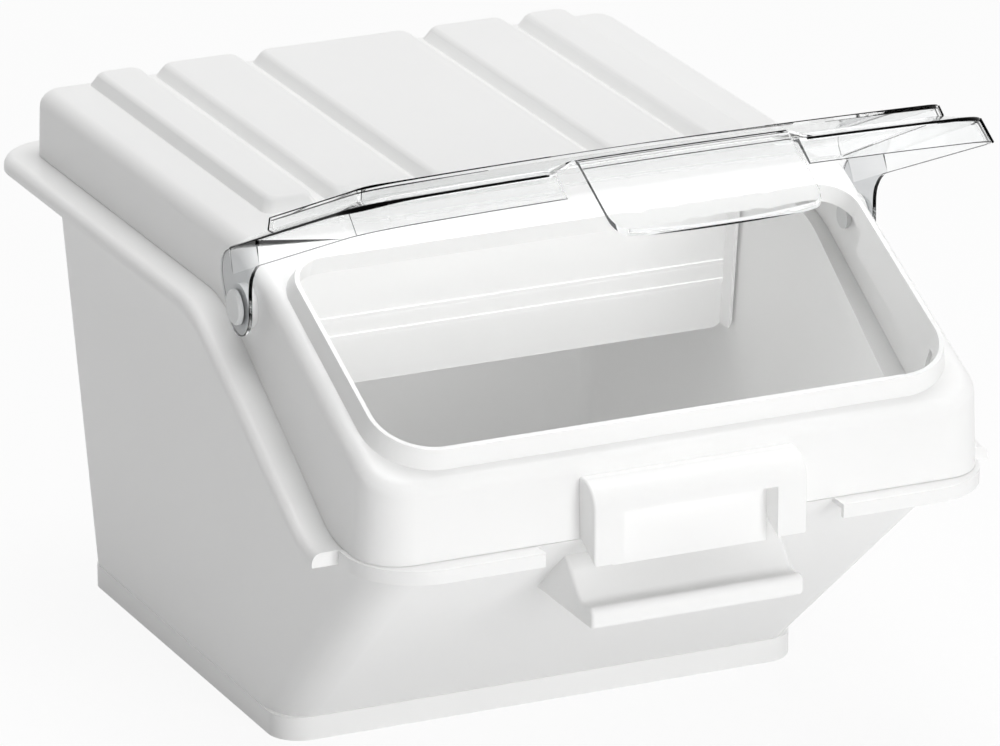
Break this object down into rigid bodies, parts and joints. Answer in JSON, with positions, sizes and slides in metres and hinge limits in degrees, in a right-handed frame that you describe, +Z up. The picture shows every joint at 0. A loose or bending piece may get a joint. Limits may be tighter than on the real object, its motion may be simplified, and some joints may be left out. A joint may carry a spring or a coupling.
{
  "type": "shelf ingredient storage bin",
  "caption": "White moulded storage bin with a leaning front, a ribbed hood with a sloping mouth and a clear flip-up door on side pivots.",
  "frame": {"origin": "centre of the flat underside of the foot, on the floor", "axes": "+Z up, -Y towards the leaning front with the mouth and handle, +X to the right as seen from the front"},
  "size_m": [0.448, 0.6071, 0.4173],
  "materials": {
    "white_plastic": "satin moulded white",
    "pin_plastic": "smooth translucent white",
    "clear_plastic": "clear moulded"
  },
  "bodies": {
    "tub": {"tub": "white_plastic"},
    "hood": {"hood": "white_plastic", "baffle": "white_plastic", "hinge_pin_left": "pin_plastic", "hinge_pin_right": "pin_plastic"},
    "door": {"door": "clear_plastic"}
  },
  "joints": [
    {"name": "hood_lift", "type": "slide", "parent": "tub", "child": "hood", "axis": [0, 0, 1], "range_m": [0, 0.2]},
    {"name": "door_swing", "type": "hinge", "parent": "hood", "child": "door", "pos_m": [0, -0.1694, 0.2939], "axis": [1, 0, 0], "range_deg": [0, 49.5]}
  ]
}
